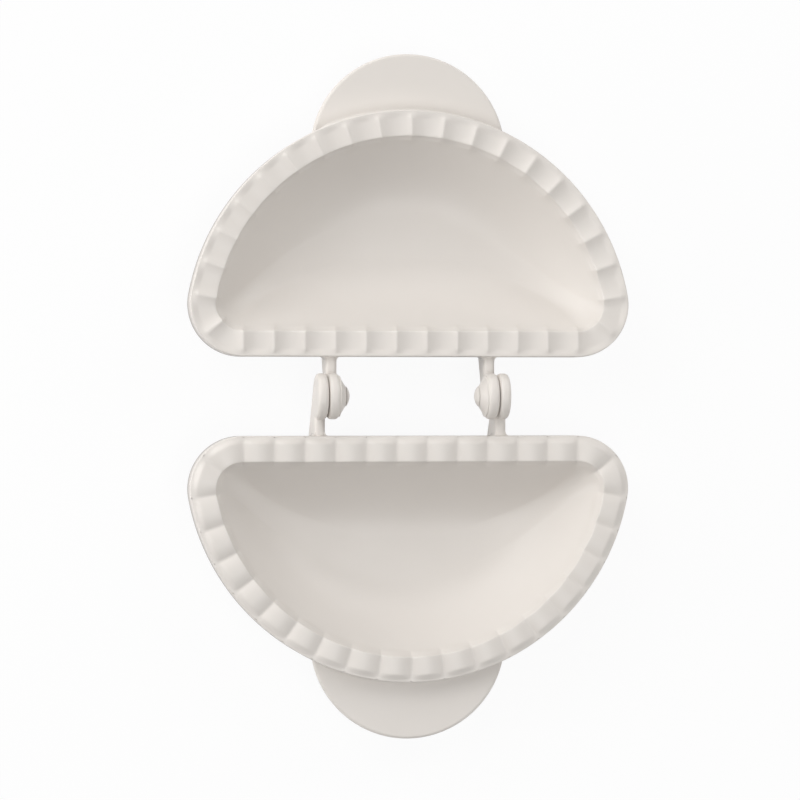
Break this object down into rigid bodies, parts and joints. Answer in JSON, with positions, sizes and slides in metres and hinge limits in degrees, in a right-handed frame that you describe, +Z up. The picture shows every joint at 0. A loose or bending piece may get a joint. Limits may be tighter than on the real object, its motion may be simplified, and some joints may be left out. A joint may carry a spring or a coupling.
{
  "type": "empanada press",
  "caption": "Open, hinged half-moon press whose crimped rims fold a round of dough over its filling and seal the edge.",
  "frame": {"origin": "on the table, under the middle of the hinge, with the press lying open and flat", "axes": "+X along the hinge, +Y from the hinge towards the upper half's handle, +Z up"},
  "size_m": [0.1202, 0.1862, 0.0242],
  "materials": {
    "moulding": "satin off-white moulded plastic",
    "pin": "satin off-white moulded plastic"
  },
  "bodies": {
    "lower": {"lower_half": "moulding", "hinge_pin_right": "pin", "hinge_pin_left": "pin"},
    "upper": {"upper_half": "moulding"}
  },
  "joints": [
    {"name": "press_hinge", "type": "hinge", "parent": "lower", "child": "upper", "pos_m": [0, 0, 0.018], "axis": [1, 0, 0], "range_deg": [0, 180]}
  ]
}
